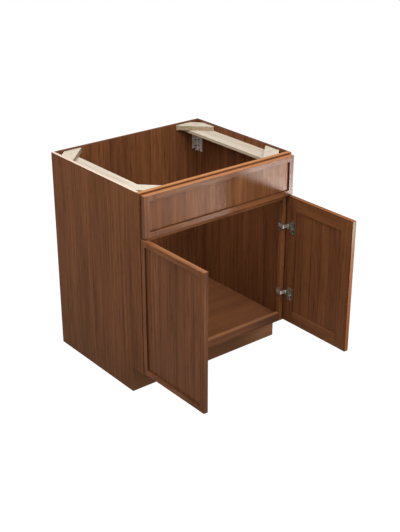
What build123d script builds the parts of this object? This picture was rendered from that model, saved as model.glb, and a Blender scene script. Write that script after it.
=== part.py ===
from build123d import *
import os

os.makedirs("parts", exist_ok=True)

# Sink base cabinet. Millimetres. Origin on the floor, on the wall plane, midway across the width.
# +X is the cabinet's right as seen from the front, +Y is towards the wall, +Z is up.

# ---- Case ----------------------------------------------------------------------------------------
width = 762.0
depth = 610.0
height = 876.0
ply = 12.7                  # plywood of the case
toe_height = 114.0
toe_recess = 76.0
dado = 6.0                  # depth that the floor runs into each side panel
dado_play = 0.2
cleat_w, cleat_h = 19.0, 38.0

# ---- Face frame ----------------------------------------------------------------------------------
frame_t = 19.0
stile_w = 38.0
rail_h = 38.0
dowel_r, dowel_len, dowel_pitch, dowel_play = 4.0, 38.0, 18.0, 0.1

# ---- Stretchers, corner braces and brackets ------------------------------------------------------
stretcher_w, stretcher_t = 80.3, 12.0
stretcher_drop = 25.0       # top of the case down to the stretchers
brace_t, brace_leg, brace_clip, brace_tip = 20.0, 125.0, 41.0, 8.0
brace_hole_r, brace_hole_in = 2.5, 46.0
brace_screw_far, brace_screw_near = 68.0, 19.0
bracket_t, bracket_tall = 1.5, 106.0
bracket_back, bracket_side = 30.0, 36.5
bracket_step, bracket_foot = 14.0, 11.0
bracket_notch_in, bracket_notch_w, bracket_notch_h = 13.0, 7.0, 11.0
bracket_hole_up = (25.0, 53.0)
bracket_hole_r, bracket_hole_in = 2.3, 14.5
bracket_tab_hole = (20.0, 24.0)

# ---- Doors and false front -----------------------------------------------------------------------
front_t = 20.6
front_gap = 3.0             # space between a closed front and the face frame
front_reveal = 6.0          # face frame left showing beside the fronts
door_gap = 3.0
door_rise = 6.0             # bottom of the doors above the face frame's lower edge
false_drop, false_h = 6.5, 169.5
front_split = 5.0           # space between the doors and the false front
lip = 23.0                  # narrow raised border of each front
lip_depth = 7.0
edge_round = 3.0            # outer edges of the front faces
panel_t = 6.0               # panel where it lies in the frame's rebate
panel_field = 4.0           # raised field on the back of the panel
panel_play = 0.2
front_stile_w = 60.0
door_rail_h = 57.0
false_rail_h = 45.0
tenon, tenon_t, tenon_in, tenon_play = 8.0, 3.0, 10.0, 0.1
bumper_r, bumper_t, bumper_round = 4.0, 2.7, 0.8
bumper_in, bumper_end = 40.0, 9.0

# ---- Hinges --------------------------------------------------------------------------------------
pivot_in = 6.6              # pivot axis in from the door's hinge edge
pivot_deep = 7.6            # pivot axis below the door's back face
hinge_end = 134.5           # hinge centres in from the ends of the door
cup_r, cup_wall, cup_floor, cup_depth = 13.0, 0.8, 0.8, 11.5
cup_in = 41.3               # cup centre in from the door's hinge edge
cup_play = 0.15
trough_in, trough_h, trough_wall = 2.0, 20.0, 1.5
trough_end = 0.8
flange_w, flange_h, flange_t, flange_r = 34.0, 62.0, 1.2, 9.0
rim_h = 24.0
ear_pitch = 48.0
pin_r, pin_len, pin_run, pin_seat = 1.5, 19.6, 0.05, 0.02
arm_t, arm_h, eye_r, arm_bend = 2.5, 16.0, 2.8, 2.4
arm_reach = 18.0            # how far the arm runs back past the face frame's front
plate_t, plate_h, plate_lip = 2.0, 40.0, 12.0
plate_inset, plate_corner = 0.5, 5.0
plate_screw_pitch = 29.0

# ---- Screws: shank radius, length under the head, head radius, head height -----------------------
plate_screw = (1.75, 16.0, 3.4, 2.0)
clamp_screw = (2.0, 10.0, 3.5, 2.2)
cup_screw = (1.6, 11.0, 3.2, 1.5)
brace_screw = (2.0, 29.0, 4.0, 2.2)
bracket_screw = (1.75, 11.0, 3.4, 1.8)
false_screw = (2.0, 33.0, 4.0, 2.2)
screw_play = 0.08
cross_w, cross_deep = 0.9, 0.9
false_screw_x, false_screw_top = 200.0, 8.0
spacer_r = 7.0

# ---- Derived -------------------------------------------------------------------------------------
half = width / 2
inner = half - ply                       # inner face of a side panel
front = -depth                           # front of the face frame
frame_back = front + frame_t
back_in = -ply                           # inner face of the back panel
toe_front = front + toe_recess
toe_back = toe_front + ply
floor_top = toe_height + ply
opening = half - stile_w                 # inner edge of a face-frame stile
false_bottom = height - false_drop - false_h
door_bottom = toe_height + door_rise
door_top = false_bottom - front_split
mid_rail_z = false_bottom - (front_split + rail_h) / 2
door_w = (width - 2 * front_reveal - door_gap) / 2
door_h = door_top - door_bottom
hinge_z = (door_bottom + hinge_end, door_top - hinge_end)
false_w = width - 2 * front_reveal
fronts_y = front - front_gap - front_t   # front face of the closed fronts
pivot_x = -half + front_reveal + pivot_in
pivot_y = front - front_gap - pivot_deep
pivot_v = front_t - pivot_deep
rebate = lip_depth + panel_t            # depth of the panel's seat below the front face
stretcher_top = height - stretcher_drop
stretcher_low = stretcher_top - stretcher_t
bracket_low = stretcher_low - bracket_tall
bracket_hole_z = [bracket_low + up for up in bracket_hole_up]


def bar(x, y, z, mode=Mode.ADD):
    """Box between two limits on each axis, in the active part."""
    with Locations(((x[0] + x[1]) / 2, (y[0] + y[1]) / 2, (z[0] + z[1]) / 2)):
        Box(x[1] - x[0], y[1] - y[0], z[1] - z[0], mode=mode)


def drill(start, direction, radius, length, mode=Mode.SUBTRACT):
    """Cylinder from a start point along a direction, in the active part."""
    with Locations(Plane(origin=start, z_dir=direction).location):
        Cylinder(radius, length, align=(Align.CENTER, Align.CENTER, Align.MIN), mode=mode)


def keep(piece, name):
    piece.label = name
    export_step(piece, f"parts/{name}.step")


def keep_pair(piece, name):
    """The left piece as modelled, and its mirror image on the right."""
    keep(piece, name.format("left"))
    keep(mirror(piece, about=Plane.YZ), name.format("right"))


def screw(size, sunk=False):
    """Cross-head screw along -Z with the seat of its head at the origin."""
    shank, length, head, head_h = size
    with BuildPart() as body:
        with BuildSketch(Plane.XZ):
            with BuildLine():
                if sunk:
                    Polyline((0, 0), (head, 0), (shank, -head_h), (shank, -length + 3 * shank),
                             (0.3, -length), (0, -length), close=True)
                else:
                    Polyline((0, head_h), (0.7 * head, head_h), (head, 0.45 * head_h), (head, 0), (shank, 0),
                             (shank, -length + 3 * shank), (0.3, -length), (0, -length), close=True)
            make_face()
        revolve(axis=Axis.Z)
        top = 0 if sunk else head_h
        with Locations((0, 0, top)):
            Box(head, cross_w, 2 * cross_deep, mode=Mode.SUBTRACT)
            Box(cross_w, head, 2 * cross_deep, mode=Mode.SUBTRACT)
    return body.part


def screws(size, seats, sunk=False):
    """Group of screws; each seat is a point and the direction that its head faces."""
    one = screw(size, sunk)
    with BuildPart() as group:
        for point, facing in seats:
            with Locations(Plane(origin=point, z_dir=facing).location):
                add(one)
    return group.part


def both_sides(seats):
    return seats + [((-p[0], p[1], p[2]), (-d[0], d[1], d[2])) for p, d in seats]


# ---- Where the fasteners sit, left side ----------------------------------------------------------
brace_corners = {"front": (-inner, frame_back, 1), "back": (-inner, back_in, -1)}


def brace_point(corner, a, b):
    x0, y0, sy = brace_corners[corner]
    return (x0 + a, y0 + sy * b)


brace_seats = [
    ((*brace_point(corner, a, b), stretcher_low), (0, 0, -1))
    for corner in brace_corners
    for a, b in ((brace_screw_far, brace_screw_near), (brace_screw_near, brace_screw_far))
]
bracket_seats = [((-inner + bracket_hole_in, back_in - bracket_t, z), (0, -1, 0)) for z in bracket_hole_z]
bracket_seats += [((-inner + bracket_t, back_in - bracket_hole_in, z), (1, 0, 0)) for z in bracket_hole_z]
tab_x, tab_y = bracket_tab_hole
bracket_tab_seat = [((-inner + tab_x, back_in - tab_y, stretcher_low - bracket_t), (0, 0, -1))]
false_seats = [
    ((-false_screw_x, frame_back, z), (0, 1, 0))
    for z in (height - rail_h / 2, mid_rail_z + rail_h - false_screw_top)
]
plate_seats = [
    ((-opening + plate_t, front + frame_t / 2, z + side * plate_screw_pitch / 2), (1, 0, 0))
    for z in hinge_z
    for side in (-1, 1)
]
clamp_seats = [((-opening + plate_t + arm_t, front + frame_t / 2, z), (1, 0, 0)) for z in hinge_z]


def pilot_holes(seats, size):
    """Pilot holes for screws, in the active part."""
    for point, facing in seats:
        drill(point, tuple(-d for d in facing), size[0] + screw_play, size[1] + 0.3)


# ---- Side panels ---------------------------------------------------------------------------------
with BuildPart() as side_panel:
    with BuildSketch(Plane.YZ.offset(-half)):
        with BuildLine():
            Polyline((0, 0), (0, height), (frame_back, height), (frame_back, toe_height),
                     (toe_back, toe_height), (toe_back, 0), close=True)
        make_face()
    extrude(amount=ply)
    bar((-inner - dado - dado_play, -inner), (frame_back, back_in), (toe_height, floor_top), Mode.SUBTRACT)
    pilot_holes(bracket_seats[2:], bracket_screw)
keep_pair(side_panel.part, "side_panel_{}")

# ---- Back, floor, toe kick and cleats ------------------------------------------------------------
with BuildPart() as back_panel:
    bar((-inner, inner), (back_in, 0), (0, height))
    pilot_holes(both_sides(bracket_seats[:2]), bracket_screw)
keep(back_panel.part, "back_panel")

with BuildPart() as floor_panel:
    bar((-inner - dado, inner + dado), (frame_back, back_in), (toe_height, floor_top))
keep(floor_panel.part, "floor_panel")

with BuildPart() as toe_kick_board:
    bar((-half, half), (toe_front, toe_back), (0, toe_height))
keep(toe_kick_board.part, "toe_kick_board")

with BuildPart() as floor_cleat:
    bar((-inner, -inner + cleat_w), (toe_back, back_in), (toe_height - cleat_h, toe_height))
keep_pair(floor_cleat.part, "floor_cleat_{}")

# ---- Face frame ----------------------------------------------------------------------------------
rails = {"top": height - rail_h, "mid": mid_rail_z, "bottom": toe_height}
frame_mid = front + frame_t / 2
dowel_z = [z + rail_h / 2 + s * dowel_pitch / 2 for z in rails.values() for s in (-1, 1)]

with BuildPart() as stile:
    bar((-half, -opening), (front, frame_back), (toe_height, height))
    for z in dowel_z:
        drill((-opening, frame_mid, z), (-1, 0, 0), dowel_r + dowel_play, dowel_len / 2 + 0.3)
    pilot_holes(plate_seats, plate_screw)
    pilot_holes(clamp_seats, clamp_screw)
keep_pair(stile.part, "face_frame_stile_{}")

for name, z0 in rails.items():
    with BuildPart() as rail:
        bar((-opening, opening), (front, frame_back), (z0, z0 + rail_h))
        for s in (-1, 1):
            z = z0 + rail_h / 2 + s * dowel_pitch / 2
            for side in (-1, 1):
                drill((side * opening, frame_mid, z), (-side, 0, 0), dowel_r + dowel_play,
                      dowel_len / 2 + 0.3)
        pilot_holes([s for s in both_sides(false_seats) if z0 < s[0][2] < z0 + rail_h], false_screw)
    keep(rail.part, f"face_frame_{name}_rail")

with BuildPart() as dowels:
    for side in (-1, 1):
        for z in dowel_z:
            drill((side * opening - dowel_len / 2, frame_mid, z), (1, 0, 0), dowel_r, dowel_len, Mode.ADD)
keep(dowels.part, "face_frame_dowels")

# ---- Side stretchers -----------------------------------------------------------------------------
with BuildPart() as stretcher:
    bar((-inner, -inner + stretcher_w), (frame_back, back_in), (stretcher_low, stretcher_top))
    for point, facing in brace_seats:
        drill(point, (0, 0, 1), brace_screw[0] + screw_play, stretcher_t)
        with Locations(Plane(origin=point, z_dir=(0, 0, 1)).location):
            Cone(brace_screw[2] + screw_play, brace_screw[0] + screw_play, brace_screw[3],
                 align=(Align.CENTER, Align.CENTER, Align.MIN), mode=Mode.SUBTRACT)
    pilot_holes(bracket_tab_seat, bracket_screw)
    for corner in brace_corners:
        drill((*brace_point(corner, brace_hole_in, brace_hole_in), stretcher_low), (0, 0, 1), brace_hole_r,
              stretcher_t)
keep_pair(stretcher.part, "side_stretcher_{}")

# ---- Corner braces -------------------------------------------------------------------------------
tip = brace_leg - brace_tip
near_tip = brace_leg - brace_tip / 2
brace_outline = [(brace_clip, 0), (tip, 0), (near_tip, brace_tip / 2), (brace_tip / 2, near_tip), (0, tip),
                 (0, brace_clip)]
for corner in brace_corners:
    with BuildPart() as brace:
        with BuildSketch(Plane.XY.offset(stretcher_top)):
            with BuildLine():
                Polyline(*[brace_point(corner, a, b) for a, b in brace_outline], close=True)
            make_face()
        extrude(amount=brace_t)
        pilot_holes(brace_seats, brace_screw)
        drill((*brace_point(corner, brace_hole_in, brace_hole_in), stretcher_top), (0, 0, 1), brace_hole_r,
              brace_t)
    keep_pair(brace.part, "corner_brace_" + corner + "_{}")
keep(screws(brace_screw, both_sides(brace_seats), sunk=True), "corner_brace_screws")

# ---- Rear corner brackets ------------------------------------------------------------------------
with BuildPart() as bracket:
    bar((-inner, -inner + bracket_back), (back_in - bracket_t, back_in), (bracket_low, stretcher_low))
    bar((-inner, -inner + bracket_t), (back_in - bracket_side, back_in), (bracket_low, stretcher_low))
    bar((-inner, -inner + bracket_back), (back_in - bracket_side, back_in),
        (stretcher_low - bracket_t, stretcher_low))
    bar((-inner + bracket_foot, -inner + bracket_back), (back_in - bracket_t, back_in),
        (bracket_low, bracket_low + bracket_step), Mode.SUBTRACT)
    notch_y = back_in - bracket_notch_in
    bar((-inner, -inner + bracket_t), (notch_y - bracket_notch_w, notch_y),
        (bracket_low, bracket_low + bracket_notch_h), Mode.SUBTRACT)
    for point, facing in bracket_seats + bracket_tab_seat:
        drill(point, tuple(-d for d in facing), bracket_hole_r, bracket_t)
keep_pair(bracket.part, "rear_corner_bracket_{}")
keep(screws(bracket_screw, both_sides(bracket_seats + bracket_tab_seat)), "rear_bracket_screws")


# ---- Framed fronts: x 0 to w, y 0 at the front face, z 0 at the bottom ---------------------------
tenon_mid = (rebate + front_t) / 2
tenon_y = (tenon_mid - tenon_t / 2, tenon_mid + tenon_t / 2)
mortise_y = (tenon_y[0] - tenon_play, tenon_y[1] + tenon_play)


def front_stile(w, h, rail, mirrored, cut=None):
    """Stile with a lip along its outer edge, a rebate for the panel and two mortises."""
    with BuildPart() as piece:
        bar((0, front_stile_w), (0, front_t), (0, h))
        fillet(piece.edges().group_by(Axis.Y)[0].sort_by(Axis.X)[:-1], radius=edge_round)
        bar((lip, front_stile_w), (0, rebate), (lip, h - lip), Mode.SUBTRACT)
        for low in (0, h - rail):
            bar((front_stile_w - tenon - tenon_play, front_stile_w), mortise_y,
                (low + tenon_in - tenon_play, low + rail - tenon_in + tenon_play), Mode.SUBTRACT)
        if cut:
            cut()
    if mirrored:
        return Pos(w, 0, 0) * mirror(piece.part, about=Plane.YZ)
    return piece.part


def front_rail(w, h, rail, upper, cut=None):
    """Rail between the stiles with a lip along its outer edge, a rebate and stub tenons."""
    low, high = (h - rail, h) if upper else (0, rail)
    rebate_z = (low, high - lip) if upper else (low + lip, high)
    with BuildPart() as piece:
        bar((front_stile_w, w - front_stile_w), (0, front_t), (low, high))
        fillet(piece.edges().group_by(Axis.Y)[0].sort_by(Axis.Z)[-1 if upper else 0], radius=edge_round)
        bar((front_stile_w, w - front_stile_w), (0, rebate), rebate_z, Mode.SUBTRACT)
        bar((front_stile_w - tenon, w - front_stile_w + tenon), tenon_y, (low + tenon_in, high - tenon_in))
        if cut:
            cut()
    return piece.part


def front_panel(w, h, rail, cut=None):
    """Panel that lies in the frame's rebate, with a raised field on its back."""
    edge = lip + panel_play
    side, end = front_stile_w + panel_play, rail + panel_play
    with BuildPart() as piece:
        bar((edge, w - edge), (lip_depth, rebate), (edge, h - edge))
        bar((side, w - side), (rebate, rebate + panel_field), (end, h - end))
        if cut:
            cut()
    return piece.part


# ---- False front ---------------------------------------------------------------------------------
def false_pilots():
    """Holes in the back of a false-front rail for the screws that come from inside."""
    for point, facing in both_sides(false_seats):
        local = (point[0] + false_w / 2, front_t, point[2] - false_bottom)
        drill(local, (0, -1, 0), false_screw[0] + screw_play, false_screw[1] - frame_t - front_gap + 0.3)


place_false = Pos(-false_w / 2, fronts_y, false_bottom)
false_size = (false_w, false_h, false_rail_h)
keep(place_false * front_stile(*false_size, False), "false_front_stile_left")
keep(place_false * front_stile(*false_size, True), "false_front_stile_right")
keep(place_false * front_rail(*false_size, True, false_pilots), "false_front_top_rail")
keep(place_false * front_rail(*false_size, False, false_pilots), "false_front_bottom_rail")
keep(place_false * front_panel(*false_size), "false_front_panel")
keep(screws(false_screw, both_sides(false_seats)), "false_front_screws")

with BuildPart() as spacers:
    for point, facing in both_sides(false_seats):
        drill((point[0], front, point[2]), (0, -1, 0), spacer_r, front_gap, Mode.ADD)
        drill((point[0], front, point[2]), (0, -1, 0), false_screw[0] + screw_play, front_gap)
keep(spacers.part, "false_front_spacers")

# ---- Doors, open at 90 degrees -------------------------------------------------------------------
open_left = Pos(pivot_x, pivot_y, 0) * Rot(0, 0, -90) * Pos(-pivot_in, -pivot_v, 0)
hinge_local = [z - door_bottom for z in hinge_z]


def cup_space(z, y, radius, x0, tall, mode):
    """Round cup joined to the trough that holds the arm, between two depths in the door."""
    drill((cup_in, y[1], z), (0, -1, 0), radius, y[1] - y[0], mode)
    bar((x0, cup_in), y, (z - tall / 2, z + tall / 2), mode)


def hinge_pockets():
    """Pockets and pilot holes for the two hinge cups, through the hinge stile into the panel."""
    for z in hinge_local:
        cup_space(z, (front_t - cup_depth - 0.1, front_t), cup_r + cup_play, trough_in - cup_play,
                  trough_h + 2 * cup_play, Mode.SUBTRACT)
        for s in (-1, 1):
            drill((cup_in, front_t, z + s * ear_pitch / 2), (0, -1, 0), cup_screw[0] + screw_play,
                  cup_screw[1] - flange_t + 0.3)


def door_pair(piece, name):
    keep_pair(open_left * Pos(0, 0, door_bottom) * piece, name)


door_size = (door_w, door_h, door_rail_h)
door_pair(front_stile(*door_size, False, hinge_pockets), "{}_door_hinge_stile")
door_pair(front_stile(*door_size, True), "{}_door_free_stile")
door_pair(front_rail(*door_size, True), "{}_door_top_rail")
door_pair(front_rail(*door_size, False), "{}_door_bottom_rail")
door_pair(front_panel(*door_size, hinge_pockets), "{}_door_panel")

with BuildPart() as bumpers:
    for z in (bumper_end, door_h - bumper_end):
        drill((door_w - bumper_in, front_t, z), (0, 1, 0), bumper_r, bumper_t, Mode.ADD)
    fillet(bumpers.edges().group_by(Axis.Y)[-1], radius=bumper_round)
door_pair(bumpers.part, "{}_door_bumpers")

# ---- Hinge cups and their screws -----------------------------------------------------------------
for level, z in zip(("lower", "upper"), hinge_local):
    with BuildPart() as cup:
        with BuildSketch(Plane(origin=(0, front_t, z), x_dir=(1, 0, 0), z_dir=(0, 1, 0))):
            with Locations((cup_in, 0)):
                RectangleRounded(flange_w, flange_h, flange_r)
            with Locations(((trough_in + cup_in) / 2, 0)):
                Rectangle(cup_in - trough_in, rim_h)
        extrude(amount=flange_t)
        cup_space(z, (front_t - cup_depth, front_t), cup_r, trough_in, trough_h, Mode.ADD)
        cup_space(z, (front_t - cup_depth + cup_floor, front_t + flange_t), cup_r - cup_wall,
                  trough_in + trough_end, trough_h - 2 * trough_wall, Mode.SUBTRACT)
        drill((pivot_in, pivot_v, z - trough_h), (0, 0, 1), pin_r + pin_run, 2 * trough_h)
        for s in (-1, 1):
            drill((cup_in, front_t + flange_t, z + s * ear_pitch / 2), (0, -1, 0), cup_screw[0] + screw_play,
                  flange_t)
    door_pair(cup.part, "{}_hinge_cup_" + level)

cup_seats = [
    ((cup_in, front_t + flange_t, z + s * ear_pitch / 2), (0, 1, 0))
    for z in hinge_local
    for s in (-1, 1)
]
door_pair(screws(cup_screw, cup_seats), "{}_hinge_cup_screws")

# ---- Hinge arms, pins and mounting plates, fixed to the face frame -------------------------------
arm_x = -opening + plate_t               # side of the arm that lies on the mounting plate
arm_end = front + arm_reach
for level, z in zip(("lower", "upper"), hinge_z):
    with BuildPart() as arm:
        with BuildSketch(Plane.XY.offset(z - arm_h / 2)):
            with BuildLine():
                Polyline((pivot_x, pivot_y - arm_t / 2), (arm_x + arm_t, pivot_y - arm_t / 2),
                         (arm_x + arm_t, arm_end), (arm_x, arm_end), (arm_x, pivot_y + arm_t / 2),
                         (pivot_x, pivot_y + arm_t / 2), close=True)
            make_face()
            with Locations((pivot_x, pivot_y)):
                Circle(eye_r)
        extrude(amount=arm_h)
        corner = arm.edges().filter_by(Axis.Z).sort_by(lambda e: e.center().X - e.center().Y)[-1]
        fillet(corner, radius=arm_bend)
        drill((pivot_x, pivot_y, z - arm_h / 2), (0, 0, 1), pin_r + pin_seat, arm_h)
        drill((arm_x, frame_mid, z), (1, 0, 0), clamp_screw[0] + screw_play, arm_t)
    keep_pair(arm.part, "{}_hinge_arm_" + level)

    plate_z = (z - plate_h / 2, z + plate_h / 2)
    with BuildPart() as plate:
        bar((-opening, arm_x), (front + plate_inset, frame_back + plate_t), plate_z)
        bar((-opening - plate_lip, arm_x), (frame_back, frame_back + plate_t), plate_z)
        fillet(plate.edges().filter_by(Axis.X).group_by(Axis.Y)[0], radius=plate_corner)
        drill((arm_x, frame_mid, z), (-1, 0, 0), clamp_screw[0] + screw_play, plate_t)
        for s in (-1, 1):
            seat = (arm_x, frame_mid, z + s * plate_screw_pitch / 2)
            drill(seat, (-1, 0, 0), plate_screw[0] + screw_play, plate_t)
            with Locations(Plane(origin=seat, z_dir=(-1, 0, 0)).location):
                Cone(plate_screw[2] + screw_play, plate_screw[0] + screw_play, plate_t,
                     align=(Align.CENTER, Align.CENTER, Align.MIN), mode=Mode.SUBTRACT)
    keep_pair(plate.part, "{}_hinge_plate_" + level)

with BuildPart() as pins:
    for side in (-1, 1):
        for z in hinge_z:
            drill((side * -pivot_x, pivot_y, z - pin_len / 2), (0, 0, 1), pin_r, pin_len, Mode.ADD)
keep(pins.part, "hinge_pins")
keep(screws(plate_screw, both_sides(plate_seats), sunk=True), "hinge_plate_screws")
keep(screws(clamp_screw, both_sides(clamp_seats)), "hinge_clamp_screws")
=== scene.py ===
import math

import bmesh
import bpy
from mathutils import Matrix, Vector


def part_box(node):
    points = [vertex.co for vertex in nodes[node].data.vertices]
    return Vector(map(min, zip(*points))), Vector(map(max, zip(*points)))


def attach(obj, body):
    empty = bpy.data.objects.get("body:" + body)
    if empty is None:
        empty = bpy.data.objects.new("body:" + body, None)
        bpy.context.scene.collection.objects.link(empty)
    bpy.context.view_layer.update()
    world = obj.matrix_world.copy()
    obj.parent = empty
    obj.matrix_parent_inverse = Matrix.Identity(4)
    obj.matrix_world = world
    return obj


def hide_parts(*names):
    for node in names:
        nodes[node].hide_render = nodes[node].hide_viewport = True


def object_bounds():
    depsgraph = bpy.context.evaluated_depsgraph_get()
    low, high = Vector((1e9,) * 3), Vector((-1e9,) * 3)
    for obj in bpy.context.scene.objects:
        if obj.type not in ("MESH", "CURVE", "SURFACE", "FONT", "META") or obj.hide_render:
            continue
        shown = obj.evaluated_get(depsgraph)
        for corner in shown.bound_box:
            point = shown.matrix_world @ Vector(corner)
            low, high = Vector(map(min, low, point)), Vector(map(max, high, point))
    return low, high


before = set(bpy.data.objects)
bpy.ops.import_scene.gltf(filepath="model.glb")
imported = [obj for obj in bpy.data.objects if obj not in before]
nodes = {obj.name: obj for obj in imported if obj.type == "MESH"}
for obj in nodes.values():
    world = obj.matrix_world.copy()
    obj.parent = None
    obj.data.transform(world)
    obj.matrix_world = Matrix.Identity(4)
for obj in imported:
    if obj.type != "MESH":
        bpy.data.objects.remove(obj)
cad_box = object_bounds()

X, Y, Z = 0, 1, 2
CABINET_TOP = cad_box[1][Z]


# ---- Shaders ----------------------------------------------------------------------------------
def colour(red, green, blue):
    """Screen colour, 0 to 255, as the linear value that a socket takes."""
    def linear(c):
        c /= 255
        return c / 12.92 if c <= 0.04045 else ((c + 0.055) / 1.055) ** 2.4
    return (linear(red), linear(green), linear(blue), 1.0)


class Socket:
    """An output of a shader node, on which sums are written as plain expressions."""

    def __init__(self, finish, output):
        self.finish = finish
        self.output = output

    def sum(self, operation, *values):
        """A maths node on these values, in their order."""
        return self.finish.add("ShaderNodeMath", {"operation": operation}, dict(enumerate(values)))

    def __add__(self, other):
        return self.sum("ADD", self, other)

    def __sub__(self, other):
        return self.sum("SUBTRACT", self, other)

    def __rsub__(self, other):
        return self.sum("SUBTRACT", other, self)

    def __mul__(self, other):
        return self.sum("MULTIPLY", self, other)

    def __truediv__(self, other):
        return self.sum("DIVIDE", self, other)

    def __rtruediv__(self, other):
        return self.sum("DIVIDE", other, self)

    def __abs__(self):
        return self.sum("ABSOLUTE", self)

    __radd__ = __add__
    __rmul__ = __mul__

    def whole(self):
        return self.sum("FLOOR", self)

    def fraction(self):
        return self.sum("FRACT", self)

    def least(self, other):
        return self.sum("MINIMUM", self, other)

    def most(self, other):
        return self.sum("MAXIMUM", self, other)

    def over(self, limit):
        """1 above the limit, otherwise 0."""
        return self.sum("GREATER_THAN", self, limit)

    def ramp(self, low, high, to_low=0.0, to_high=1.0, smooth=True):
        """Goes from one value to another between two levels, and is flat outside them."""
        kind = "SMOOTHSTEP" if smooth else "LINEAR"
        return self.finish.add("ShaderNodeMapRange", {"interpolation_type": kind, "clamp": True},
                               {"Value": self, "From Min": low, "From Max": high, "To Min": to_low,
                                "To Max": to_high})


class Finish:
    """A material under construction."""

    def __init__(self, name):
        self.material = bpy.data.materials.new(name)
        self.material.use_nodes = True
        self.tree = self.material.node_tree
        self.tree.nodes.clear()
        self.place = self.add("ShaderNodeTexCoord", output="Object")
        self.facing = Socket(self, self.place.output.node.outputs["Normal"])

    def add(self, kind, settings=None, values=None, output=0):
        """A new node with these settings and inputs, as the socket of its output."""
        node = self.tree.nodes.new(kind)
        for key, value in (settings or {}).items():
            if key == "stops":
                ramp = node.color_ramp.elements
                while len(ramp) < len(value):
                    ramp.new(1.0)
                for stop, (position, shade) in zip(ramp, value):
                    stop.position = position
                    stop.color = shade
            else:
                setattr(node, key, value)
        for key, value in (values or {}).items():
            if isinstance(value, Socket):
                self.tree.links.new(value.output, node.inputs[key])
            else:
                node.inputs[key].default_value = value
        return Socket(self, node.outputs[output])

    def axes(self, vector):
        """The X, Y and Z of a vector."""
        split = self.add("ShaderNodeSeparateXYZ", values={0: vector})
        return [Socket(self, out) for out in split.output.node.outputs]

    def vector(self, x, y, z):
        return self.add("ShaderNodeCombineXYZ", values={0: x, 1: y, 2: z})

    def stretch(self, scales, offset=(0, 0, 0), source=None):
        """The place on the part, or another source, scaled and moved."""
        return self.add("ShaderNodeMapping", {"vector_type": "POINT"},
                        {"Vector": source or self.place, "Location": offset, "Scale": scales})

    def noise(self, source, detail=2.0, rough=0.5, twist=0.0):
        return self.add("ShaderNodeTexNoise", {"noise_dimensions": "3D"},
                        {"Vector": source, "Scale": 1.0, "Detail": detail, "Roughness": rough,
                         "Distortion": twist})

    def mix(self, share, first, second):
        return self.add("ShaderNodeMix", {"data_type": "RGBA", "clamp_factor": True},
                        {"Factor": share, 6: first, 7: second}, output=2)

    def bump(self, height, distance):
        return self.add("ShaderNodeBump", values={"Height": height, "Distance": distance})

    def done(self, **values):
        """The finished material, from the inputs of one principled shader."""
        named = {key.replace("_", " "): value for key, value in values.items()}
        return self.surface(self.add("ShaderNodeBsdfPrincipled", values=named))

    def surface(self, shader):
        """The finished material, with this shader on its surface."""
        end = self.tree.nodes.new("ShaderNodeOutputMaterial")
        self.tree.links.new(shader.output, end.inputs["Surface"])
        return self.material


def along(axis, length, across):
    """Scales that stretch a pattern along one axis."""
    return tuple(length if i == axis else across for i in (X, Y, Z))


# ---- Stained wood -----------------------------------------------------------------------------
STAIN_LIGHT = colour(143, 91, 56)
STAIN_MID = colour(116, 72, 42)
STAIN_DARK = colour(82, 47, 26)
FINE_GRAIN = colour(144, 95, 64)
PORE_DARK = colour(62, 35, 21)
FLECK_DARK = colour(66, 36, 22)
LEAF_DARK = colour(86, 49, 31)
SEAM_DARK = colour(52, 28, 17)
# Painted shade in recesses, on steps and along the back edges of the fronts.
RECESS_SHADE = colour(38, 20, 11)
# Painted highlight on the edges of the false front.
EDGE_HIGHLIGHT = colour(172, 112, 70)
# Painted shade on the top edges of the right side and of the back.
SHADED_TOP_EDGE = colour(92, 50, 31)

# Tints of the lacquer's reflection.
AMBER = (1.0, 0.88, 0.76, 1.0)
CLEAR = (1.0, 1.0, 1.0, 1.0)

# Widths of the veneer leaves, and how far the seam between two of them reaches.
CASE_LEAF = 0.104
DOOR_LEAF = 0.052
SEAM_HALF = 0.0007
SEAM_STAIN = 0.006

# Strengths of a leaf's own shade, of the stained seam and of its core.
LEAF_SHARE = 0.3
SEAM_SOFT = 0.28
SEAM_CORE = 0.4

# Repeats of each layer of the grain in a metre, along it and across it.
WANDER = (1.4, 5.0)
BROAD = (0.7, 20.0)
FIGURE = (2.4, 70.0)
FINE = (9.0, 420.0)
PORES = (26.0, 900.0)
FLECKS = (9.0, 130.0)
WANDER_REACH = 0.03
GRAIN_DEPTH = 0.00012

# How strongly each layer shows. Figure and broad figure share one tint.
FIGURE_SHARE = 0.58
FINE_SHARE = 0.22
PORE_SHARE = 0.5
FLECK_SHARE = 0.5


def leaves(f, place, axis, leaf, shade):
    """Leaves of veneer, side by side, each a little lighter or darker than the next."""
    cells = [across / leaf for across in f.axes(place)]
    steps = [0.0 if i == axis else cell.whole() for i, cell in enumerate(cells)]
    chance = f.add("ShaderNodeTexWhiteNoise", {"noise_dimensions": "3D"}, {"Vector": f.vector(*steps)})
    shade = f.mix(chance.ramp(0, 1, 0.0, LEAF_SHARE, smooth=False), shade, LEAF_DARK)
    first, second = [abs(cell.fraction() - 0.5) for i, cell in enumerate(cells) if i != axis]
    seam = first.most(second)
    shade = f.mix(seam.ramp(0.5 - SEAM_STAIN / leaf, 0.5) * SEAM_SOFT, shade, SEAM_DARK)
    return f.mix(seam.ramp(0.5 - SEAM_HALF / leaf, 0.5) * SEAM_CORE, shade, SEAM_DARK)


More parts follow.
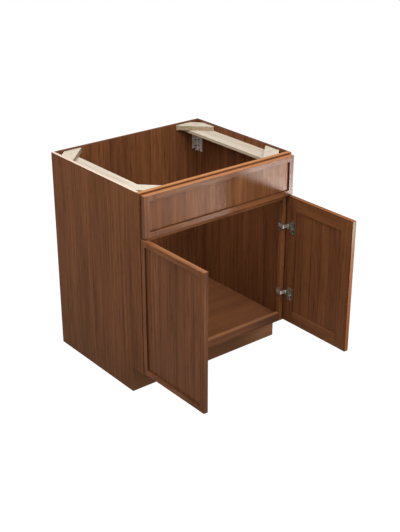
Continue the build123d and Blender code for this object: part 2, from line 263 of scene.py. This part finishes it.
def stained_wood(name, axis, offset=(0, 0, 0), leaf=CASE_LEAF, gloss=0.03, rough=0.42, sheen=CLEAR,
                 tone=None, marks=()):
    """Stained and lacquered timber or veneer with its grain along one axis.

    Leaf is the width of its veneer leaves, or 0 for solid timber. Sheen is the tint of the lacquer's
    reflection, and tone a share and a shade laid over the figure. Each of the marks is a function
    that gives a mask and the shade that shows there. Most marks paint light and shade into the colour,
    and the bare plywood edges are the wood's own colour."""
    f = Finish(name)
    place = f.stretch((1, 1, 1), offset)
    wander = f.noise(f.stretch(along(axis, *WANDER), source=place))
    drift = f.add("ShaderNodeVectorMath", {"operation": "SUBTRACT"},
                  {0: Socket(f, wander.output.node.outputs["Color"]), 1: (0.5, 0.5, 0.5)})
    moved = f.add("ShaderNodeVectorMath", {"operation": "MULTIPLY_ADD"},
                  {0: drift, 1: along(axis, 0.0, WANDER_REACH), 2: place})
    broad = f.noise(f.stretch(along(axis, *BROAD), source=moved))
    figure = f.noise(f.stretch(along(axis, *FIGURE), source=moved), detail=4.0, rough=0.6)
    fine = f.noise(f.stretch(along(axis, *FINE), source=moved), detail=3.0, rough=0.6)
    pores = f.noise(f.stretch(along(axis, *PORES), source=moved), detail=1.0)
    flecks = f.noise(f.stretch(along(axis, *FLECKS), source=moved)).ramp(0.57, 0.72)
    tint = (figure.ramp(0.28, 0.72, smooth=False) * FIGURE_SHARE
            + broad.ramp(0.3, 0.7, smooth=False) * (1.0 - FIGURE_SHARE))
    stops = [(0.08, STAIN_DARK), (0.5, STAIN_MID), (0.95, STAIN_LIGHT)]
    shade = f.add("ShaderNodeValToRGB", {"stops": stops}, {0: tint})
    shade = f.mix(fine.ramp(0.35, 0.7) * FINE_SHARE, shade, FINE_GRAIN)
    shade = f.mix(pores.ramp(0.60, 0.70) * PORE_SHARE, shade, PORE_DARK)
    shade = f.mix(flecks * FLECK_SHARE, shade, FLECK_DARK)
    if leaf:
        shade = leaves(f, place, axis, leaf, shade)
    if tone:
        shade = f.mix(tone[0], shade, tone[1])
    for mark in marks:
        mask, mark_shade = mark(f)
        shade = f.mix(mask, shade, mark_shade)
    roughness = rough + fine * 0.08 + pores.ramp(0.58, 0.72) * 0.12
    relief = f.bump(fine * 0.4 + figure * 0.4 - pores.ramp(0.58, 0.7) * 0.8, GRAIN_DEPTH)
    return f.done(Base_Color=shade, Roughness=roughness, Normal=relief, Specular_IOR_Level=gloss,
                  Specular_Tint=sheen)


# ---- Marks on stained wood, most of them painted light and shade ------------------------------
# How squarely a face looks up or sideways, from where it starts to count to where it counts fully.
UPWARD = (0.3, 0.8)
TOP_FACE = (0.5, 0.9)
SIDEWAYS = (0.5, 0.9)
ASLANT = (0.35, 0.8)
SQUARE = 0.9

# Distances in from the outline of a front or a panel.
RIM = (0.0006, 0.003)
ARRIS = (0.0015, 0.0055)
STEP_FROM = 0.006
PANEL_SHADE_REACH = 0.005

# Strengths and reaches of the painted light on the edges and of the painted shadow near the hinges, and
# strengths of the painted shade beside them.
TOP_EDGE_LIGHT = 0.85
OUTER_HALF = (-0.002, 0.003)
OUTER_EDGE_LIGHT = 0.4
EDGE_FOOT_TO_HEAD = (0.52, 0.68)
HINGE_SHADOW_REACH = 0.12
STEP_LIT = 0.55
STEP_LEAST = 0.15
ARRIS_SHADE_SHARE = 0.6
PANEL_SHADE_SHARE = 0.35

# The free stile of a door: where its painted shade gets heavier, its head and foot, and the painted
# shade at each.
FREE_STILE = (-0.8, -0.93)
DOOR_HEAD = 0.68
DOOR_FOOT = 0.12
HEAD_SHADE_SHARE = 0.25
FOOT_SHADE_SHARE = 0.7


def wide_axis(flat):
    """The level axis along which an upright board is wide."""
    return Y if flat == X else X


def inside(f, low, high, wide):
    """How far a point lies inside a box, on its wide axis and in height."""
    place = f.axes(f.place)
    side = (place[wide] - low[wide]).least(high[wide] - place[wide])
    return side.least((place[Z] - low[Z]).least(high[Z] - place[Z]))


def painted_panel_shade(node):
    """Painted shade along the borders of a recessed panel."""
    low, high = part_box(node)
    flat = min((X, Y), key=lambda i: high[i] - low[i])

    def mark(f):
        return inside(f, low, high, wide_axis(flat)).ramp(0.0, PANEL_SHADE_REACH, PANEL_SHADE_SHARE, 0.0), RECESS_SHADE
    return mark


def front_edges(low, high, flat, top, foot, head, sides, step_shade):
    """Painted highlight and shade on the outer edges of a door or false front, and painted shade on the
    step round its recess and along its back edges.

    Top is the colour of the painted highlight on the upper edge. The upright edges go from foot to
    head, and show as strongly as sides says. The last argument says how dark the step's painted
    shade is."""
    wide = wide_axis(flat)
    hand = -1.0 if low[X] < 0 else 1.0
    middle = (low[flat] + high[flat]) / 2

    def rim(f):
        place = f.axes(f.place)
        facing = f.axes(f.facing)
        upward = facing[Z].ramp(*UPWARD)
        wear_and_edge_light = (upward * TOP_EDGE_LIGHT).most(abs(facing[Y]).ramp(*SIDEWAYS, 0.0, sides))
        upper = top
        if flat == X:
            # On a door less of the painted edge light shows in the outer half of its edges, and a
            # painted shadow darkens its upper edge towards the hinges.
            away = (place[X] - middle) * hand
            wear_and_edge_light = wear_and_edge_light * away.ramp(*OUTER_HALF, 1.0, OUTER_EDGE_LIGHT)
            upper = f.mix(place[Y].ramp(high[Y] - HINGE_SHADOW_REACH, high[Y]), top, STAIN_MID)
        upright = f.mix(place[Z].ramp(*EDGE_FOOT_TO_HEAD), foot, head)
        shade = f.mix(upward, upright, upper)
        return (1.0 - inside(f, low, high, wide).ramp(*RIM)) * wear_and_edge_light, shade

    # Painted shade on the step round the recess, lighter where the step faces up into the light.
    def step(f):
        facing = f.axes(f.facing)
        sloped = 1.0 - abs(facing[flat]).ramp(*ASLANT)
        dark = (step_shade - facing[Z].ramp(*UPWARD) * STEP_LIT).most(STEP_LEAST)
        return sloped * inside(f, low, high, wide).over(STEP_FROM) * dark, RECESS_SHADE

    # Painted shade along the outline of a front's back face.
    def arris(f):
        facing = f.axes(f.facing)
        behind = facing[X] * -hand if flat == X else facing[Y]
        outline = 1.0 - inside(f, low, high, wide).ramp(*ARRIS)
        return outline * behind.over(SQUARE) * ARRIS_SHADE_SHARE, RECESS_SHADE
    return rim, step, arris


def lit_or_shaded_top_edge(shade, strength=1.0):
    """A painted highlight or painted shade on the narrow top edge of an upright board."""
    def mark(f):
        return f.axes(f.facing)[Z].ramp(*TOP_FACE) * strength, shade
    return mark


def towards(start, end, most, shade, axis=X):
    """More of a shade towards one end of a board, from none at start to the most at end."""
    def mark(f):
        return f.axes(f.place)[axis].ramp(start, end, 0.0, most), shade
    return mark


def free_stile(f):
    """Painted shade at the free end of a door, heaviest at its foot."""
    place = f.axes(f.place)
    heavy = place[Z].ramp(DOOR_HEAD, DOOR_FOOT, HEAD_SHADE_SHARE, FOOT_SHADE_SHARE)
    return place[Y].ramp(*FREE_STILE) * heavy, STAIN_DARK


# Bare plywood: its shades, a ply with its glue line, and how squarely a bare face looks back or down.
BARE_PLY = colour(226, 209, 193)
BARE_GLUE = colour(160, 126, 94)
BARE_PATCH = colour(200, 176, 150)
PLY = 0.0036
BARE_SIDE = 0.7


def raw_edges(upper):
    """Bare plywood on the lower and rear edges of a side panel, and on the upper one if so said."""
    def mark(f):
        facing = f.axes(f.facing)
        layer = (f.axes(f.place)[X] / PLY).fraction()
        pale = f.mix(abs(layer - 0.5).ramp(0.25, 0.4) * 0.6, BARE_PLY, BARE_GLUE)
        patches = f.noise(f.stretch(CLOUDS), detail=3.0)
        bare = facing[Y].over(BARE_SIDE).most((0.0 - facing[Z]).over(BARE_SIDE))
        if upper:
            bare = bare.most(facing[Z].over(BARE_SIDE))
        return bare, f.mix(patches * 0.3, pale, BARE_PATCH)
    return mark


# ---- Bare wood, metal and plastic -------------------------------------------------------------
SOFTWOOD = (colour(200, 190, 175), colour(178, 164, 144))
SOFTWOOD_STREAK = colour(170, 144, 112)
SOFTWOOD_PALE = colour(226, 216, 200)
# Painted shade on the upright faces of bare softwood, darker than its top.
SOFTWOOD_SIDE_SHADE = colour(138, 111, 79)
PLYWOOD_EDGE = colour(219, 202, 175)
PLYWOOD_GLUE = colour(150, 112, 76)
BROWN_PLASTIC = (colour(98, 64, 43), colour(72, 45, 30))
HINGE_STEEL = (colour(186, 182, 174), colour(140, 136, 128))
ARM_STEEL = (colour(222, 218, 208), colour(172, 167, 156))
BRACKET_STEEL = (colour(226, 214, 208), colour(178, 166, 160))
SCREW_STEEL = (colour(168, 160, 140), colour(120, 112, 98))
DARK_STEEL = (colour(92, 82, 76), colour(64, 56, 52))

# Repeats in a metre of bare wood's figure, along the grain and across it.
BARE_WANDER = (1.5, 7.0)
BARE_FIGURE = (5.0, 130.0)
BARE_FINE = (30.0, 800.0)

# Repeats in a metre along X, Y and Z, on plywood's raw edges, steel and plastic.
CLOUDS = (60, 60, 60)
ROLLED = (900, 900, 120)
WORN = (260, 260, 260)
SPECKS = (300, 300, 300)


def pale_wood(name, axis, edge_shade, plies=None):
    """Bare softwood or plywood. The plies are the node whose edges show them, and their number."""
    f = Finish(name)
    wander = f.noise(f.stretch(along(axis, *BARE_WANDER)))
    figure = f.noise(f.stretch(along(axis, *BARE_FIGURE)), detail=4.0, rough=0.6, twist=0.3)
    fine = f.noise(f.stretch(along(axis, *BARE_FINE)))
    shade = f.mix(figure.ramp(0.3, 0.75), *SOFTWOOD)
    shade = f.mix(fine.ramp(0.58, 0.75) * 0.35, shade, SOFTWOOD_STREAK)
    shade = f.mix(wander.ramp(0.35, 0.7) * 0.25, shade, SOFTWOOD_PALE)
    # Upright faces take the edge colour: the plies' own colour on plywood, painted shade on softwood.
    edge = 1.0 - abs(f.axes(f.facing)[Z]).ramp(0.4, 0.7)
    shade = f.mix(edge * (0.55 + figure.ramp(0.3, 0.7) * 0.3), shade, edge_shade)
    if plies:
        node, count = plies
        low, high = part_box(node)
        layer = ((f.axes(f.place)[Z] - low[Z]) * (count / 2 / (high[Z] - low[Z]))).fraction()
        shade = f.mix(edge * layer.ramp(0.5, 0.6) * 0.8, shade, PLYWOOD_GLUE)
    relief = f.bump(figure * 0.6 + fine * 0.4, 0.0002)
    return f.done(Base_Color=shade, Roughness=0.62 + fine * 0.12, Normal=relief, Specular_IOR_Level=0.1)


def metal(name, light, dark, rough, body=0.75):
    """Plated steel with faint rolling marks and duller patches; body is how metallic it looks."""
    f = Finish(name)
    cloud = f.noise(f.stretch(CLOUDS), detail=3.0)
    marks = f.noise(f.stretch(ROLLED))
    wear_and_edge_light = f.noise(f.stretch(WORN)).ramp(0.6, 0.75)
    shade = f.mix(cloud.ramp(0.3, 0.7), light, dark)
    shade = f.mix(wear_and_edge_light * 0.35, shade, dark)
    return f.done(Base_Color=shade, Metallic=body, Roughness=rough + marks * 0.12 + cloud * 0.08,
                  Normal=f.bump(marks, 0.00004))


def plastic(name, light, dark):
    """Moulded plastic, faintly mottled."""
    f = Finish(name)
    cloud = f.noise(f.stretch(SPECKS))
    shade = f.mix(cloud * 0.5, light, dark)
    return f.done(Base_Color=shade, Roughness=0.45 + cloud * 0.1, Normal=f.bump(cloud, 0.00005))


# ---- Carried-over nodes -----------------------------------------------------------------------
WELD_DISTANCE = 0.00002
FLAT_WITHIN = math.radians(1.0)
SHARP_FROM = math.radians(35)

# Widths of the eased edges.
CASE_EASE = 0.0006
FRAME_EASE = 0.001
SOFTWOOD_EASE = 0.0008
PLYWOOD_EASE = 0.0004
BRACKET_EASE = 0.0005
HINGE_EASE = 0.0003
SCREW_EASE = 0.0002


def dress(material, *names, ease=CASE_EASE):
    """Gives CAD nodes a material and slightly eased edges."""
    for name in names:
        piece = nodes[name]
        piece.data.materials.clear()
        piece.data.materials.append(material)
        weld = piece.modifiers.new("weld", "WELD")
        weld.merge_threshold = WELD_DISTANCE
        # The stiles of the false front keep their triangles.
        if not name.startswith("false_front_stile"):
            plain = piece.modifiers.new("flat faces", "DECIMATE")
            plain.decimate_type = "DISSOLVE"
            plain.angle_limit = FLAT_WITHIN
        round_over = piece.modifiers.new("eased edges", "BEVEL")
        round_over.width = ease
        round_over.segments = 2
        round_over.limit_method = "ANGLE"
        round_over.angle_limit = SHARP_FROM


# ---- Case and face frame ----------------------------------------------------------------------
CASE_GRAIN = (0.31, 0.17, 0.0)
FLOOR_GRAIN = (0.0, 0.41, 0.13)
TOE_GRAIN = (0.2, 0.7, 0.6)
STILE_GRAIN = (0.05, 0.03, 0.5)
RAIL_GRAIN = (0.5, 0.21, 0.02)
FLOOR_TONE = (0.5, colour(117, 76, 50))
# The toe kick is painted lighter as if lit from the front right, and darker to the left as a painted
# shadow of the left door.
TOE_LIT_TONE = (0.5, colour(152, 110, 78))
TOE_LEFT_SHADOW = towards(0.36, 0.14, 0.7, colour(78, 50, 32))
# Painted shade at the foot of the face frame's stiles.
STILE_FOOT_SHADE = towards(0.4, 0.1, 0.35, STAIN_DARK, Z)
# Painted highlight on the upward faces of the face frame.
FRAME_TOP_HIGHLIGHT = lit_or_shaded_top_edge(colour(174, 118, 72), 0.9)
BOTTOM_RAIL_TONE = (0.45, colour(70, 49, 39))
# Painted highlight on the top edge of the bottom rail.
BOTTOM_RAIL_TOP_HIGHLIGHT = lit_or_shaded_top_edge(colour(154, 106, 70), 0.75)
BOTTOM_RAIL_RIGHT = towards(0.1, 0.3, 0.18, colour(56, 40, 36))
# Painted light and shade: the left side and the left door are a little lighter at the head and
# darker at the foot, as the light falls off towards the floor.
LIT_HEAD_SHADED_FOOT = [towards(0.5, CABINET_TOP, 0.09, STAIN_LIGHT, Z),
                towards(0.45, 0.05, 0.32, STAIN_DARK, Z)]

dress(stained_wood("case_veneer_left", Z, CASE_GRAIN, marks=[*LIT_HEAD_SHADED_FOOT, raw_edges(True)]),
      "side_panel_left")
dress(stained_wood("case_veneer_right", Z, CASE_GRAIN, marks=[lit_or_shaded_top_edge(SHADED_TOP_EDGE), raw_edges(False)]),
      "side_panel_right")
dress(stained_wood("back_veneer", Z, CASE_GRAIN, marks=[lit_or_shaded_top_edge(SHADED_TOP_EDGE)]), "back_panel")
dress(stained_wood("floor_veneer", X, FLOOR_GRAIN, tone=FLOOR_TONE), "floor_panel")
dress(stained_wood("toe_kick_wood", X, TOE_GRAIN, leaf=0, tone=TOE_LIT_TONE, marks=[TOE_LEFT_SHADOW]),
      "toe_kick_board")
dress(stained_wood("frame_stile_wood", Z, STILE_GRAIN, leaf=0, marks=[STILE_FOOT_SHADE, FRAME_TOP_HIGHLIGHT]),
      "face_frame_stile_left", "face_frame_stile_right", ease=FRAME_EASE)
dress(stained_wood("frame_rail_wood", X, RAIL_GRAIN, leaf=0, marks=[FRAME_TOP_HIGHLIGHT]),
      "face_frame_top_rail", "face_frame_mid_rail", ease=FRAME_EASE)
dress(stained_wood("frame_bottom_wood", X, RAIL_GRAIN, leaf=0, tone=BOTTOM_RAIL_TONE,
                   marks=[BOTTOM_RAIL_TOP_HIGHLIGHT, BOTTOM_RAIL_RIGHT]),
      "face_frame_bottom_rail", ease=FRAME_EASE)


# ---- False front and doors --------------------------------------------------------------------
FRONT_STILE_GRAIN = (0.72, 0.35, 0.1)
FRONT_RAIL_GRAIN = (0.1, 0.5, 0.72)
# Offset so that no seam plane falls on a panel's face.
PANEL_GRAIN = (0.91, 0.35, 0.3)
# Painted shade on the false front towards its left, where its sheen is weaker.
LEFT_HALF_SHADE = towards(0.05, -0.05, 0.12, STAIN_DARK)
# Painted light at the head and painted shade at the foot of the right door's frame, and painted shade
# over the whole right door.
RIGHT_DOOR_LIT_HEAD = towards(0.45, 0.69, 0.1, STAIN_LIGHT, Z)
RIGHT_DOOR_SHADED_FOOT = towards(0.4, 0.1, 0.1, STAIN_DARK, Z)
RIGHT_DOOR_SHADE_TONE = (0.2, STAIN_DARK)
DOOR_STILES = ("hinge_stile", "free_stile")
DOOR_GLOSS = 0.05

# Flat is the axis across a front's thickness. Border and panel are the finishes of both.
FRONTS = {
    "false_front": {
        "flat": Y, "rail_axis": X, "stiles": ("stile_left", "stile_right"),
        "edge": {"top": EDGE_HIGHLIGHT, "foot": EDGE_HIGHLIGHT, "head": EDGE_HIGHLIGHT, "sides": 0.2, "step_shade": 0.85},
        "border_marks": [LEFT_HALF_SHADE], "panel_marks": [LEFT_HALF_SHADE],
        "border": {"gloss": 0.13, "rough": 0.23, "tone": (0.25, STAIN_DARK)},
        "panel": {"gloss": 0.1, "rough": 0.23, "sheen": AMBER}},
    "left_door": {
        "flat": X, "rail_axis": Y, "stiles": DOOR_STILES,
        # Painted highlight on the upper edge and painted shade on the upright edges.
        "edge": {"top": colour(151, 103, 69), "foot": colour(89, 58, 38), "head": colour(62, 38, 24),
                 "sides": 0.8, "step_shade": 0.55},
        "border_marks": [free_stile], "panel_marks": LIT_HEAD_SHADED_FOOT,
        "border": {"gloss": DOOR_GLOSS},
        "panel": {"gloss": DOOR_GLOSS, "leaf": DOOR_LEAF}},
    "right_door": {
        "flat": X, "rail_axis": Y, "stiles": DOOR_STILES,
        # Painted highlight on the upper edge, and a painted reflection that makes the upright edges
        # paler towards their head.
        "edge": {"top": colour(143, 84, 34), "foot": colour(126, 72, 18), "head": colour(140, 118, 95),
                 "sides": 0.8, "step_shade": 0.55},
        "border_marks": [RIGHT_DOOR_LIT_HEAD, RIGHT_DOOR_SHADED_FOOT], "panel_marks": [],
        "border": {"gloss": DOOR_GLOSS, "tone": RIGHT_DOOR_SHADE_TONE},
        "panel": {"gloss": DOOR_GLOSS, "tone": RIGHT_DOOR_SHADE_TONE, "leaf": DOOR_LEAF}},
}


def dress_front(front, flat, rail_axis, stiles, edge, border_marks, panel_marks, border, panel):
    """Dresses the stiles, rails and panel of a door or false front."""
    pieces = [f"{front}_{part}" for part in (*stiles, "top_rail", "bottom_rail", "panel")]
    corners = [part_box(piece) for piece in pieces]
    low = [min(corner[0][i] for corner in corners) for i in (X, Y, Z)]
    high = [max(corner[1][i] for corner in corners) for i in (X, Y, Z)]
    marks = [*border_marks, *front_edges(low, high, flat, **edge)]
    dress(stained_wood(front + "_stile_wood", Z, FRONT_STILE_GRAIN, leaf=0, marks=marks, **border),
          *pieces[:2])
    dress(stained_wood(front + "_rail_wood", rail_axis, FRONT_RAIL_GRAIN, leaf=0, marks=marks, **border),
          *pieces[2:4])
    marks = [*panel_marks, painted_panel_shade(pieces[4])]
    dress(stained_wood(front + "_panel_wood", Z, PANEL_GRAIN, marks=marks, **panel), pieces[4])


for front, details in FRONTS.items():
    dress_front(front, **details)


# ---- Bare wood and fittings -------------------------------------------------------------------
SIDES = ("left", "right")
HINGES = [(side, level) for side in SIDES for level in ("lower", "upper")]
BRACES = [f"corner_brace_{end}_{side}" for end in ("front", "back") for side in SIDES]
CUPS_AND_PLATES = [f"{side}_hinge_{part}_{level}" for side, level in HINGES for part in ("cup", "plate")]
BRACKET_SCREWS = "rear_bracket_screws"
OTHER_SCREWS = [name for name in nodes if name.endswith("screws") and name != BRACKET_SCREWS]
PLASTICS = [name for name in nodes if name.endswith(("bumpers", "spacers"))]

dress(pale_wood("stretcher_plywood", Y, PLYWOOD_EDGE, plies=("side_stretcher_left", 5)),
      "side_stretcher_left", "side_stretcher_right", ease=PLYWOOD_EASE)
dress(pale_wood("brace_softwood", X, SOFTWOOD_SIDE_SHADE), *BRACES, ease=SOFTWOOD_EASE)
dress(pale_wood("cleat_softwood", Y, SOFTWOOD_SIDE_SHADE),
      "floor_cleat_left", "floor_cleat_right", "face_frame_dowels", ease=SOFTWOOD_EASE)
dress(metal("hinge_steel", *HINGE_STEEL, 0.26, body=0.95),
      *CUPS_AND_PLATES, ease=HINGE_EASE)
dress(metal("bracket_steel", *BRACKET_STEEL, 0.5, body=0.1),
      "rear_corner_bracket_left", "rear_corner_bracket_right", ease=BRACKET_EASE)
dress(metal("bracket_screw_steel", *DARK_STEEL, 0.4), BRACKET_SCREWS, ease=SCREW_EASE)
dress(metal("screw_steel", *SCREW_STEEL, 0.34), *OTHER_SCREWS, "hinge_pins", ease=SCREW_EASE)
dress(plastic("brown_plastic", *BROWN_PLASTIC), *PLASTICS, ease=HINGE_EASE)


# ---- Hinge arms -------------------------------------------------------------------------------
EYE = 0.0028
ARM_FOLD = 0.0025
ARM_SHEET = 0.0009
ARM_BEND = 0.0042
ARM_SOFT = 0.0003
EYE_SOFT = 0.0004
BEND_STEPS = 6
EYE_SIDES = 28
EDGE_FROM = math.radians(50)
RIM_FROM = 1.0

arm_steel = metal("arm_steel", *ARM_STEEL, 0.3, body=0.85)


def keep_arm(mesh, node):
    """Puts a finished arm in the scene as the piece that stands for its CAD node."""
    name = node + "_channel"
    data = bpy.data.meshes.new(name)
    mesh.to_mesh(data)
    mesh.free()
    piece = bpy.data.objects.new(name, data)
    bpy.context.scene.collection.objects.link(piece)
    data.materials.append(arm_steel)
    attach(piece, "cabinet")
    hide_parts(node)


def soften(mesh, edges, width):
    """Rounds edges over."""
    bmesh.ops.bevel(mesh, geom=edges, offset=width, segments=2, profile=0.5, affect="EDGES",
                    material=-1, clamp_overlap=True)


def run_on(mesh, edges, axis, end):
    """Draws edges out along an axis to its end, and gives the new vertices and edges there."""
    run = bmesh.ops.extrude_edge_only(mesh, edges=edges)["geom"]
    moved = [v for v in run if isinstance(v, bmesh.types.BMVert)]
    drawn = [e for e in run if isinstance(e, bmesh.types.BMEdge) and all(v in moved for v in e.verts)]
    way = Vector()
    way[axis] = end - moved[0].co[axis]
    bmesh.ops.translate(mesh, verts=moved, vec=way)
    return moved, drawn


def folded_channel(mesh, pivot, half, bend_x, end_y):
    """Folded sheet, open to the rear, from the pivot along X, round a bend and along Y to its end."""
    face = pivot.y - ARM_FOLD / 2
    section = [mesh.verts.new((pivot.x + EYE / 2, face + fold, pivot.z + z))
               for fold, z in ((ARM_FOLD, -half), (0.0, -half), (0.0, half), (ARM_FOLD, half))]
    leading = [mesh.edges.new(pair) for pair in zip(section, section[1:])]
    moved, leading = run_on(mesh, leading, X, bend_x)
    turned = bmesh.ops.spin(mesh, geom=moved + leading, axis=(0, 0, 1), angle=math.radians(90),
                            steps=BEND_STEPS, cent=(bend_x, face + ARM_BEND, pivot.z))["geom_last"]
    run_on(mesh, [e for e in turned if isinstance(e, bmesh.types.BMEdge)], Y, end_y)
    bmesh.ops.remove_doubles(mesh, verts=mesh.verts, dist=1e-6)
    bmesh.ops.recalc_face_normals(mesh, faces=mesh.faces)
    front_face = next(f for f in mesh.faces if abs(f.normal.y) > 0.9)
    if front_face.normal.y > 0:
        bmesh.ops.reverse_faces(mesh, faces=mesh.faces)
    bmesh.ops.solidify(mesh, geom=mesh.faces[:], thickness=ARM_SHEET)
    bmesh.ops.recalc_face_normals(mesh, faces=mesh.faces)
    sharp = [e for e in mesh.edges if len(e.link_faces) == 2 and e.calc_face_angle(0.0) > EDGE_FROM]
    soften(mesh, sharp, ARM_SOFT)


def eye_round_pin(mesh, pivot, half):
    """The rolled end of an arm, as a solid barrel on the pivot."""
    barrel = bmesh.ops.create_cone(mesh, cap_ends=True, segments=EYE_SIDES, radius1=EYE, radius2=EYE,
                                   depth=2 * half, matrix=Matrix.Translation(pivot))["verts"]
    rims = {e for v in barrel for e in v.link_edges if e.calc_face_angle(0.0) > RIM_FROM}
    soften(mesh, list(rims), EYE_SOFT)


def hinge_arm(node):
    """Channel of folded sheet that runs from an eye round the pin, bends, and lies along the plate.

    It is made for the left side, and turned over for the right."""
    low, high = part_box(node)
    left = low[X] < 0
    far, near = (low[X], high[X]) if left else (-high[X], -low[X])
    pivot = Vector((far + EYE, low[Y] + EYE, (low[Z] + high[Z]) / 2))
    half = (high[Z] - low[Z]) / 2
    mesh = bmesh.new()
    folded_channel(mesh, pivot, half, near - ARM_BEND, high[Y])
    eye_round_pin(mesh, pivot, half)
    if not left:
        bmesh.ops.scale(mesh, verts=mesh.verts, vec=(-1, 1, 1))
    bmesh.ops.recalc_face_normals(mesh, faces=mesh.faces)
    keep_arm(mesh, node)


for side, level in HINGES:
    hinge_arm(f"{side}_hinge_arm_{level}")


# ---- Stage ------------------------------------------------------------------------------------
FLOOR_HALF = 14.0
FLOOR_LIGHT = (0.46, 0.46, 0.46, 1)
FLOOR_DARK = (0.43, 0.43, 0.43, 1)
WHITE = (1, 1, 1, 1)
FLOOR_GLOW = 1.28
FLOOR_WHITENESS = 0.74
WORLD_LIGHT = 0.45

scene = bpy.context.scene


def pale_floor():
    """Matt grey that lights the part from below, and that the camera and reflections see as white."""
    f = Finish("pale_floor")
    speck = f.noise(f.stretch((3, 3, 3)))
    shade = f.mix(speck * 0.2, FLOOR_LIGHT, FLOOR_DARK)
    matt = f.add("ShaderNodeBsdfDiffuse", values={"Color": shade})
    white = f.add("ShaderNodeEmission", values={"Color": WHITE, "Strength": FLOOR_GLOW})
    camera_ray, glossy_ray, through_ray = [
        f.add("ShaderNodeLightPath", output=ray)
        for ray in ("Is Camera Ray", "Is Glossy Ray", "Is Transmission Ray")]
    share = (camera_ray + glossy_ray + through_ray).least(1.0) * FLOOR_WHITENESS
    return f.surface(f.add("ShaderNodeMixShader", values={0: share, 1: matt, 2: white}))


def stage():
    """The ground under the cabinet."""
    ground = bmesh.new()
    bmesh.ops.create_grid(ground, x_segments=1, y_segments=1, size=FLOOR_HALF)
    mesh = bpy.data.meshes.new("floor")
    ground.to_mesh(mesh)
    ground.free()
    floor = bpy.data.objects.new("floor", mesh)
    scene.collection.objects.link(floor)
    mesh.materials.append(pale_floor())


def studio():
    """A world that is white where it is seen, directly or in a reflection, and dimmer as a light."""
    world = bpy.data.worlds.new("studio")
    scene.world = world
    world.use_nodes = True
    tree = world.node_tree
    tree.nodes.clear()
    seen, lit = [tree.nodes.new("ShaderNodeBackground") for _ in range(2)]
    for glow, strength in ((seen, 1.0), (lit, WORLD_LIGHT)):
        glow.inputs["Color"].default_value = WHITE
        glow.inputs["Strength"].default_value = strength
    path = tree.nodes.new("ShaderNodeLightPath")
    share = path.outputs["Is Camera Ray"]
    for ray in ("Is Glossy Ray", "Is Transmission Ray"):
        more = tree.nodes.new("ShaderNodeMath")
        more.operation = "ADD"
        more.use_clamp = True
        tree.links.new(share, more.inputs[0])
        tree.links.new(path.outputs[ray], more.inputs[1])
        share = more.outputs[0]
    choose = tree.nodes.new("ShaderNodeMixShader")
    end = tree.nodes.new("ShaderNodeOutputWorld")
    tree.links.new(share, choose.inputs[0])
    tree.links.new(lit.outputs[0], choose.inputs[1])
    tree.links.new(seen.outputs[0], choose.inputs[2])
    tree.links.new(choose.outputs[0], end.inputs[0])


def lamp(name, place, target, size, power, turn=0.0):
    """A soft box, which faces its target; turn is its angle about the line to it."""
    data = bpy.data.lights.new(name, "AREA")
    data.shape = "RECTANGLE"
    data.size, data.size_y = size
    data.energy = power
    light = bpy.data.objects.new(name, data)
    facing = (Vector(target) - Vector(place)).to_track_quat("-Z", "Y").to_matrix()
    light.matrix_world = Matrix.Translation(place) @ (facing @ Matrix.Rotation(turn, 3, "Z")).to_4x4()
    light.visible_camera = False
    scene.collection.objects.link(light)


stage()
studio()
lamp("overhead", (-0.6, -1.0, 3.4), (0, -0.35, 0.6), (2.4, 2.0), 58)
lamp("front_high", (-0.2, -3.4, 3.0), (0, -0.6, 0.4), (1.8, 1.2), 48)
lamp("front_low", (1.0, -3.2, 0.6), (0.05, -0.6, 0.3), (1.2, 1.0), 19)
lamp("left", (-2.7, -0.9, 3.0), (-0.3, -0.4, 0.9), (1.6, 1.6), 27)
# A light panel on the floor at the right, whose reflection is the sheen of the false front.
lamp("floor_right", (1.52, -1.96, 0.02), (1.52, -1.96, 1.0), (1.0, 0.45), 78, math.radians(42.6))


# ---- Camera, as in the photograph -------------------------------------------------------------
CAMERA_PLACE = (-2.38358, -3.46187, 2.19801)
CAMERA_RIGHT = (0.77997, -0.62582, 0.0)
CAMERA_UP = (0.26310, 0.32791, 0.90733)
CAMERA_BACK = (-0.56782, -0.70769, 0.42042)
FOCAL_PIXELS = 1019.904
PICTURE_HEIGHT = 532
SENSOR = 36.0

camera_data = bpy.data.cameras.new("camera")
camera_data.sensor_width = SENSOR
camera_data.lens = FOCAL_PIXELS / PICTURE_HEIGHT * SENSOR
camera_data.clip_start = 0.1
camera_data.clip_end = 60.0
camera = bpy.data.objects.new("camera", camera_data)
camera_turn = Matrix((CAMERA_RIGHT, CAMERA_UP, CAMERA_BACK)).transposed()
camera.matrix_world = Matrix.Translation(CAMERA_PLACE) @ camera_turn.to_4x4()
scene.collection.objects.link(camera)
scene.camera = camera
scene.view_settings.view_transform = "Standard"
